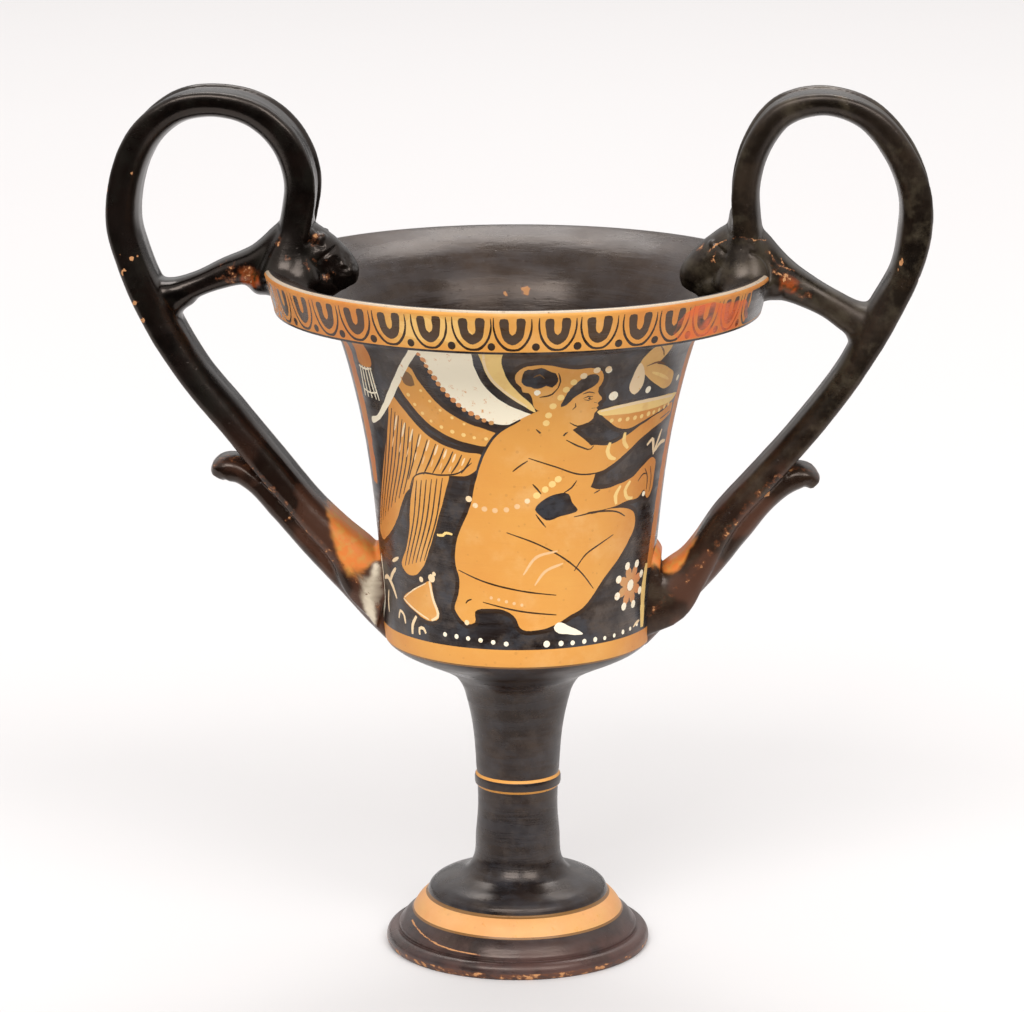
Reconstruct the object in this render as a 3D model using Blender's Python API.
"""Red-figure kantharos: a deep drinking cup on a stemmed foot with two high ring handles.

One fired clay piece. The vessel is turned from a closed profile, so the cup is hollow with a true wall and
the foot is hollow beneath. Each handle is a grooved strap with a strut, a second strand that ends in a spur,
and a moulded animal head on the lip. All of it is joined into one solid.
Sizes are in metres. The origin is on the axis of the cup at the height of the resting ring, +Z is up and the
handles lie along +X and -X.
"""

import math

import bmesh
import bpy
from mathutils import Vector

# Cup
RIM_RADIUS = 0.0730
CUP_HEIGHT = 0.2034
LIP_DEPTH = 0.0126
LIP_OVERHANG = 0.0182
LIP_TAPER = 0.0032
NECK_RADIUS = 0.0518
BOWL_RADIUS = 0.0395
BOWL_FLOOR = 0.0820
WALL = 0.0040
FLOOR_THICKNESS = 0.0135

# Stem and foot
STEM_RADIUS = 0.01175
STEM_RING_HEIGHT = 0.0500
STEM_RING_BULGE = 0.0007
FOOT_RADIUS = 0.03886
FOOT_DISC_RADIUS = 0.0264
FOOT_DISC_HEIGHT = 0.0172
FOOT_EDGE_HEIGHT = 0.0046
FOOT_HOLLOW_RADIUS = 0.0316
FOOT_HOLLOW_HEIGHT = 0.0380

# Handles
HANDLE_REACH = 0.1186
LEFT_RISE = 0.0502
RIGHT_RISE = 0.0518
STRAP_WIDTH = 0.0215
STRAP_THICKNESS = 0.0076
STRUT_WIDTH = 0.0120
STRUT_THICKNESS = 0.0062
SPUR_WIDTH = 0.0150
SPUR_THICKNESS = 0.0053
ROOT_HEIGHT = 0.1080
ROOT_DEPTH = 0.0285
HEAD_LENGTH = 0.0270
HEAD_HEIGHT = 0.0172
HEAD_WIDTH = 0.0196

# Resolution of the turned body and the swept parts
BODY_SEGMENTS = 40
RING_STEPS = 2
STRAP_ARM_ROWS = 7

CLAY_COLOUR = (0.035, 0.030, 0.028, 1.0)

# Half of the strap's section, from the middle of the outer face round to the middle of the inner edge.
# First value: share of half the width. Second value: share of the thickness, counted inward.
STRAP_SECTION = (
    (0.00, 0.05),
    (0.50, 0.05),
    (0.60, 0.14),
    (0.71, 0.03),
    (0.92, 0.06),
    (1.00, 0.28),
    (0.90, 0.58),
    (0.75, 0.86),
    (0.38, 1.00),
    (0.00, 1.00),
)

# Half of the plain rounded section of the strut and the spur
ROUND_SECTION = (
    (0.00, 0.00),
    (0.60, 0.05),
    (0.95, 0.30),
    (0.95, 0.70),
    (0.60, 0.95),
    (0.00, 1.00),
)


def lerp(a, b, t):
    """A value part of the way from a to b."""
    return a + (b - a) * t


def scaled(points, radius, base, height):
    """Turns shares of a radius and of a height into real profile points."""
    return [(radius * r, base + height * z) for r, z in points]


def foot_profile():
    """Outside of the foot, from the resting ring up to the disc's edge."""
    band_top = FOOT_DISC_HEIGHT - 0.0018
    band_low = lerp(FOOT_EDGE_HEIGHT, band_top, 0.50)
    band_radius = lerp(FOOT_DISC_RADIUS, FOOT_RADIUS, 0.385)
    step_radius = lerp(FOOT_DISC_RADIUS, FOOT_RADIUS, 0.71)
    return [
        (FOOT_RADIUS * 0.986, 0.0),
        (FOOT_RADIUS, FOOT_EDGE_HEIGHT * 0.26),
        (FOOT_RADIUS, FOOT_EDGE_HEIGHT * 0.55),
        (FOOT_RADIUS * 0.980, FOOT_EDGE_HEIGHT * 0.86),
        (FOOT_RADIUS * 0.950, FOOT_EDGE_HEIGHT),
        (step_radius, FOOT_EDGE_HEIGHT * 1.02),
        (step_radius * 0.990, FOOT_EDGE_HEIGHT * 1.24),
        (lerp(step_radius, band_radius, 0.52), lerp(FOOT_EDGE_HEIGHT, band_low, 0.70)),
        (band_radius, band_low),
        (lerp(FOOT_DISC_RADIUS, band_radius, 0.66), lerp(band_low, band_top, 0.50)),
        (lerp(FOOT_DISC_RADIUS, band_radius, 0.36), lerp(band_low, band_top, 0.78)),
        (FOOT_DISC_RADIUS * 1.008, band_top),
        (FOOT_DISC_RADIUS, lerp(band_top, FOOT_DISC_HEIGHT, 0.60)),
        (FOOT_DISC_RADIUS * 0.983, FOOT_DISC_HEIGHT * 1.01),
    ]


def stem_profile():
    """The disc's domed top, the stem with its ring, and the flare under the bowl."""
    dome = FOOT_DISC_HEIGHT
    span = BOWL_FLOOR - dome
    ring = STEM_RING_HEIGHT
    points = [
        (FOOT_DISC_RADIUS * 0.94, dome + 0.019 * span),
        (FOOT_DISC_RADIUS * 0.83, dome + 0.039 * span),
        (FOOT_DISC_RADIUS * 0.68, dome + 0.057 * span),
        (STEM_RADIUS * 1.32, dome + 0.073 * span),
        (STEM_RADIUS * 1.165, dome + 0.110 * span),
        (STEM_RADIUS * 1.05, dome + 0.262 * span),
        (STEM_RADIUS * 1.00, dome + 0.390 * span),
    ]
    points += [
        (STEM_RADIUS * 1.010, ring - 0.0022),
        (STEM_RADIUS * 1.035, ring - 0.0014),
        (STEM_RADIUS * 1.020 + STEM_RING_BULGE, ring + 0.0002),
        (STEM_RADIUS * 1.040, ring + 0.0020),
    ]
    points += [
        (STEM_RADIUS * 1.060, dome + 0.620 * span),
        (STEM_RADIUS * 1.130, dome + 0.755 * span),
        (STEM_RADIUS * 1.270, dome + 0.880 * span),
        (STEM_RADIUS * 1.390, dome + 0.950 * span),
    ]
    return points


def bowl_profile():
    """Outside of the bowl, from the flare under it up to the neck under the lip."""
    base = BOWL_FLOOR
    neck = CUP_HEIGHT - LIP_DEPTH - 0.0072
    span = neck - base
    rise = (
        (0.470, 0.000),
        (0.570, 0.026),
        (0.708, 0.052),
        (0.835, 0.075),
        (0.928, 0.096),
        (0.980, 0.115),
        (0.993, 0.140),
        (1.000, 0.250),
    )
    points = [(BOWL_RADIUS * r, base + span * z) for r, z in rise]
    flare = ((0.055, 0.345), (0.130, 0.445), (0.235, 0.568), (0.385, 0.697), (0.558, 0.805))
    flare += ((0.715, 0.885), (0.865, 0.952), (1.000, 1.000))
    points += [(lerp(BOWL_RADIUS, NECK_RADIUS, r), base + span * z) for r, z in flare]
    return points


def lip_profile():
    """Underside, slanted outer band and rounded top of the lip."""
    under = CUP_HEIGHT - LIP_DEPTH
    low_radius = RIM_RADIUS - LIP_TAPER
    inner = low_radius - LIP_OVERHANG
    return [
        (lerp(inner, low_radius, 0.16), under - 0.0036),
        (lerp(inner, low_radius, 0.43), under - 0.0013),
        (lerp(inner, low_radius, 0.95), under),
        (low_radius + 0.0004, under + 0.0006),
        (lerp(low_radius, RIM_RADIUS, 0.95), CUP_HEIGHT - 0.0024),
        (RIM_RADIUS, CUP_HEIGHT - 0.0010),
        (RIM_RADIUS - 0.0014, CUP_HEIGHT),
    ]


def inside_profile():
    """Inside of the lip and the cup, from the rim down to the middle of the floor."""
    floor = BOWL_FLOOR + FLOOR_THICKNESS
    depth = CUP_HEIGHT - floor
    neck = NECK_RADIUS - WALL
    points = [
        (lerp(RIM_RADIUS, neck, 0.38), CUP_HEIGHT - 0.030 * depth),
        (lerp(RIM_RADIUS, neck, 0.60), CUP_HEIGHT - 0.064 * depth),
        (lerp(RIM_RADIUS, neck, 0.78), CUP_HEIGHT - 0.108 * depth),
        (lerp(RIM_RADIUS, neck, 0.92), CUP_HEIGHT - 0.162 * depth),
    ]
    wall = ((0.985, 0.222), (0.730, 0.312), (0.480, 0.435), (0.230, 0.608), (0.060, 0.785))
    inner = BOWL_RADIUS - WALL
    points += [(lerp(inner, neck, r), CUP_HEIGHT - depth * z) for r, z in wall]
    points += [
        (inner * 0.992, CUP_HEIGHT - depth * 0.915),
        (inner * 0.930, CUP_HEIGHT - depth * 0.962),
        (inner * 0.720, CUP_HEIGHT - depth * 0.990),
        (0.0, floor),
    ]
    return points


def under_profile():
    """Hollow under the foot, from its top on the axis out to the resting ring."""
    shares = (
        (0.00, 1.00),
        (0.12, 0.95),
        (0.18, 0.72),
        (0.26, 0.52),
        (0.42, 0.34),
        (0.66, 0.20),
        (0.88, 0.09),
        (0.98, 0.02),
        (1.00, 0.00),
    )
    return scaled(shares, FOOT_HOLLOW_RADIUS, 0.0, FOOT_HOLLOW_HEIGHT)


def vessel_profile():
    """The whole closed profile, from the axis under the foot round to the axis in the cup."""
    outside = foot_profile() + stem_profile() + bowl_profile() + lip_profile()
    return under_profile() + outside + inside_profile()


def mesh_object(name, vertices, faces):
    """Makes an object from vertices and faces, with its faces turned outward."""
    mesh = bpy.data.meshes.new(name)
    mesh.from_pydata([tuple(v) for v in vertices], [], faces)
    built = bmesh.new()
    built.from_mesh(mesh)
    bmesh.ops.recalc_face_normals(built, faces=built.faces)
    built.to_mesh(mesh)
    built.free()
    made = bpy.data.objects.new(name, mesh)
    bpy.context.collection.objects.link(made)
    return made


def turned(name, profile, segments):
    """Turns a profile that starts and ends on the axis into a closed solid."""
    vertices = []
    rings = []
    for radius, height in profile:
        if radius < 1e-6:
            rings.append([len(vertices)] * segments)
            vertices.append((0.0, 0.0, height))
            continue
        start = len(vertices)
        for k in range(segments):
            angle = 2.0 * math.pi * k / segments
            vertices.append((radius * math.cos(angle), radius * math.sin(angle), height))
        rings.append([start + k for k in range(segments)])
    faces = []
    for lower, upper in zip(rings, rings[1:]):
        for k in range(segments):
            n = (k + 1) % segments
            corners = [lower[k], lower[n], upper[n], upper[k]]
            face = []
            for corner in corners:
                if corner not in face:
                    face.append(corner)
            faces.append(face)
    return mesh_object(name, vertices, faces)


def smooth_path(points, first, steps):
    """Runs a smooth curve through rows of values, with extra steps from the first row named on."""
    out = list(points[:first])
    last = len(points) - 1
    for i in range(first, last):
        a = points[max(i - 1, 0)]
        b = points[i]
        c = points[i + 1]
        d = points[min(i + 2, last)]
        for k in range(steps):
            t = k / steps
            row = []
            for p, q, r, s in zip(a, b, c, d):
                row.append(
                    0.5
                    * (
                        2.0 * q
                        + (r - p) * t
                        + (2.0 * p - 5.0 * q + 4.0 * r - s) * t * t
                        + (3.0 * q - p - 3.0 * r + s) * t * t * t
                    )
                )
            out.append(tuple(row))
    out.append(tuple(points[last]))
    return out


def full_section(half):
    """Mirrors half a section into a closed outline."""
    return list(half) + [(-b, n) for b, n in reversed(half[1:-1])]


def swept(name, path, section, side):
    """Sweeps a section along a path in the handle's plane.

    Each path row holds the outward distance, the height, the thickness and the width.
    The side is 1 for the handle on +X and -1 for the one on -X.
    """
    vertices = []
    count = len(section)
    last = len(path) - 1
    for i, (out, up, thick, width) in enumerate(path):
        before = path[max(i - 1, 0)]
        after = path[min(i + 1, last)]
        tangent = Vector((after[0] - before[0], after[1] - before[1])).normalized()
        normal = Vector((tangent.y, -tangent.x))
        for b, n in section:
            shift = thick * (0.5 - n)
            x = out + normal.x * shift
            z = up + normal.y * shift
            vertices.append((side * x, side * b * width * 0.5, z))
    faces = [list(range(count)), list(range(last * count, (last + 1) * count))]
    for i in range(last):
        for k in range(count):
            n = (k + 1) % count
            faces.append([i * count + k, i * count + n, (i + 1) * count + n, (i + 1) * count + k])
    return mesh_object(name, vertices, faces)


def handle_rows(side):
    """Places the rows of the strap, the strut and the spur from the named sizes.

    Heights over the lip are shares of the ring's rise over the rim, and distances outside the lip are
    shares of its reach past the rim, so the handle follows the cup. The right ring is a little more
    pointed than the left one, and its strut sits lower.
    """
    rise = RIGHT_RISE if side > 0 else LEFT_RISE
    past = HANDLE_REACH - RIM_RADIUS
    drop = CUP_HEIGHT - ROOT_HEIGHT
    arm = HANDLE_REACH - BOWL_RADIUS
    thick = STRAP_THICKNESS
    wide = STRAP_WIDTH

    def upper(out, up, scale):
        return (RIM_RADIUS + past * out, CUP_HEIGHT + rise * up, thick * scale, wide)

    def lower(out, up, scale, width=1.0):
        return (BOWL_RADIUS + arm * out, ROOT_HEIGHT + drop * up, thick * scale, wide * width)

    def rooted(out, up, scale):
        return (BOWL_RADIUS + arm * out, ROOT_HEIGHT + ROOT_DEPTH * up, thick * scale, wide)

    root = (BOWL_RADIUS - WALL * 0.55, ROOT_HEIGHT, ROOT_DEPTH, wide * 0.96)
    if side < 0:
        strap = [
            root,
            lower(0.050, 0.000, 2.35, 0.96),
            lower(0.130, 0.075, 1.45, 0.93),
            lower(0.250, 0.226, 1.12, 0.92),
            lower(0.405, 0.380, 1.12, 0.92),
            lower(0.557, 0.535, 1.12, 0.92),
            lower(0.680, 0.660, 1.12, 0.94),
            lower(0.815, 0.845, 1.20, 0.97),
            upper(0.838, 0.020, 1.12),
            upper(0.908, 0.250, 1.12),
            upper(0.885, 0.480, 1.12),
            upper(0.732, 0.772, 1.12),
            upper(0.535, 0.910, 1.05),
            upper(0.290, 0.942, 1.00),
            upper(0.045, 0.885, 1.06),
            upper(-0.142, 0.735, 1.14),
            upper(-0.242, 0.500, 1.20),
            upper(-0.215, 0.260, 1.20),
            upper(-0.150, 0.020, 1.14),
            upper(-0.140, -0.070, 1.10),
        ]
        strut = [
            upper(0.760, -0.205, 1.0),
            upper(0.600, -0.195, 1.0),
            upper(0.440, -0.135, 1.0),
            upper(0.240, -0.062, 1.0),
            upper(0.030, 0.010, 1.0),
            upper(-0.195, 0.130, 1.0),
        ]
        spur = [
            rooted(-0.050, -0.452, 1.0),
            rooted(0.022, -0.291, 1.0),
            rooted(0.098, -0.037, 1.0),
            lower(0.243, 0.127, 1.0),
            lower(0.361, 0.240, 1.0),
            lower(0.479, 0.345, 1.0),
            lower(0.522, 0.368, 1.0),
            lower(0.566, 0.376, 1.0),
            lower(0.598, 0.364, 1.0),
            lower(0.612, 0.345, 1.0),
        ]
        strut_scale = (1.60, 1.25, 0.98, 1.15, 1.80, 1.90)
        swell = (1.30, 1.05, 1.00, 1.00, 1.00, 1.05, 1.12, 1.25, 1.15, 0.75)
    else:
        strap = [
            root,
            lower(0.050, -0.005, 2.30, 0.96),
            lower(0.130, 0.060, 1.50, 0.93),
            lower(0.276, 0.246, 1.00, 0.90),
            lower(0.440, 0.400, 0.98, 0.90),
            lower(0.596, 0.556, 0.98, 0.90),
            lower(0.706, 0.682, 0.98, 0.92),
            lower(0.830, 0.870, 1.15, 0.96),
            upper(0.838, 0.000, 1.06),
            upper(0.892, 0.200, 1.18),
            upper(0.900, 0.390, 1.18),
            upper(0.790, 0.660, 1.10),
            upper(0.580, 0.865, 0.96),
            upper(0.310, 0.937, 0.88),
            upper(0.050, 0.875, 0.98),
            upper(-0.112, 0.680, 1.02),
            upper(-0.174, 0.460, 1.02),
            upper(-0.165, 0.260, 1.04),
            upper(-0.130, 0.020, 1.14),
            upper(-0.120, -0.070, 1.10),
        ]
        strut = [
            upper(0.700, -0.330, 1.0),
            upper(0.540, -0.295, 1.0),
            upper(0.360, -0.200, 1.0),
            upper(0.190, -0.118, 1.0),
            upper(0.010, -0.028, 1.0),
            upper(-0.185, 0.130, 1.0),
        ]
        spur = [
            rooted(-0.063, -0.425, 1.0),
            rooted(0.023, -0.274, 1.0),
            rooted(0.090, -0.114, 1.0),
            lower(0.194, 0.095, 1.0),
            lower(0.307, 0.211, 1.0),
            lower(0.412, 0.302, 1.0),
            lower(0.469, 0.345, 1.0),
            lower(0.520, 0.371, 1.0),
            lower(0.566, 0.368, 1.0),
            lower(0.598, 0.343, 1.0),
        ]
        strut_scale = (1.70, 1.40, 1.20, 1.45, 2.00, 2.00)
        swell = (1.30, 1.05, 1.00, 1.00, 1.00, 1.00, 1.05, 1.15, 0.95, 0.60)
    width = (1.5, 1.15, 1.0, 1.05, 1.30, 1.35)
    spread = (1.15, 1.10, 1.05, 1.00, 1.00, 1.00, 1.00, 1.00, 0.95, 0.75)
    strut = [
        (row[0], row[1], STRUT_THICKNESS * s, STRUT_WIDTH * w) for row, s, w in zip(strut, strut_scale, width)
    ]
    spur = [
        (row[0], row[1], SPUR_THICKNESS * s, SPUR_WIDTH * w) for row, s, w in zip(spur, swell, spread)
    ]
    return strap, strut, spur


def animal_head(name, side):
    """The head on the lip, as sections along a line from the neck to the tip of the muzzle."""
    count = 14
    # Along the length, over the lip's top, half height and half width, all as shares of the head's sizes
    rows = (
        (0.04, 0.05, 0.22, 0.40),
        (0.18, 0.20, 0.36, 0.47),
        (0.40, 0.32, 0.45, 0.50),
        (0.60, 0.24, 0.47, 0.46),
        (0.77, 0.05, 0.42, 0.38),
        (0.90, -0.14, 0.35, 0.31),
        (0.97, -0.28, 0.27, 0.26),
        (1.01, -0.38, 0.16, 0.16),
    )
    start = RIM_RADIUS + 0.0010
    vertices = []
    centres = [(start - HEAD_LENGTH * along, CUP_HEIGHT + HEAD_HEIGHT * up) for along, up, _, _ in rows]
    last = len(rows) - 1
    for i, (_, _, half_height, half_width) in enumerate(rows):
        before = centres[max(i - 1, 0)]
        after = centres[min(i + 1, last)]
        tangent = Vector((after[0] - before[0], after[1] - before[1])).normalized()
        normal = Vector((tangent.y, -tangent.x))
        if normal.y < 0.0:
            normal = -normal
        for k in range(count):
            angle = 2.0 * math.pi * k / count
            b = math.sin(angle) * half_width * HEAD_WIDTH
            h = math.cos(angle) * half_height * HEAD_HEIGHT
            x = centres[i][0] + normal.x * h
            z = centres[i][1] + normal.y * h
            vertices.append((side * x, b, z))
    faces = [list(range(count)), list(range(last * count, (last + 1) * count))]
    for i in range(last):
        for k in range(count):
            n = (k + 1) % count
            faces.append([i * count + k, i * count + n, (i + 1) * count + n, (i + 1) * count + k])
    return mesh_object(name, vertices, faces)


def unite(body, part):
    """Joins a part into the body as one solid and removes the part."""
    joining = body.modifiers.new("join", "BOOLEAN")
    joining.operation = "UNION"
    joining.solver = "EXACT"
    joining.object = part
    bpy.context.view_layer.objects.active = body
    bpy.ops.object.modifier_apply(modifier=joining.name)
    mesh = part.data
    bpy.data.objects.remove(part, do_unlink=True)
    bpy.data.meshes.remove(mesh)


def tidy(body):
    """Merges stray doubles, splits into triangles, turns faces outward and shades the piece smooth."""
    built = bmesh.new()
    built.from_mesh(body.data)
    bmesh.ops.remove_doubles(built, verts=built.verts, dist=0.00002)
    bmesh.ops.dissolve_degenerate(built, edges=built.edges, dist=0.00001)
    bmesh.ops.triangulate(built, faces=built.faces)
    bmesh.ops.recalc_face_normals(built, faces=built.faces)
    built.to_mesh(body.data)
    built.free()
    for face in body.data.polygons:
        face.use_smooth = True


def clay_material():
    """Black-glossed fired clay."""
    material = bpy.data.materials.new("painted_clay")
    material.use_nodes = True
    shader = material.node_tree.nodes["Principled BSDF"]
    shader.inputs["Base Color"].default_value = CLAY_COLOUR
    shader.inputs["Roughness"].default_value = 0.32
    return material


def main():
    """Clears the scene and builds the kantharos as one solid."""
    for old in list(bpy.data.objects):
        bpy.data.objects.remove(old, do_unlink=True)
    body = turned("kantharos", vessel_profile(), BODY_SEGMENTS)
    for side in (-1, 1):
        strap, strut, spur = handle_rows(side)
        ring = smooth_path(strap, STRAP_ARM_ROWS, RING_STEPS)
        unite(body, swept("strap", ring, full_section(STRAP_SECTION), side))
        unite(body, swept("spur", spur, full_section(ROUND_SECTION), side))
        unite(body, swept("strut", strut, full_section(ROUND_SECTION), side))
        unite(body, animal_head("head", side))
    tidy(body)
    body.data.materials.clear()
    body.data.materials.append(clay_material())


main()
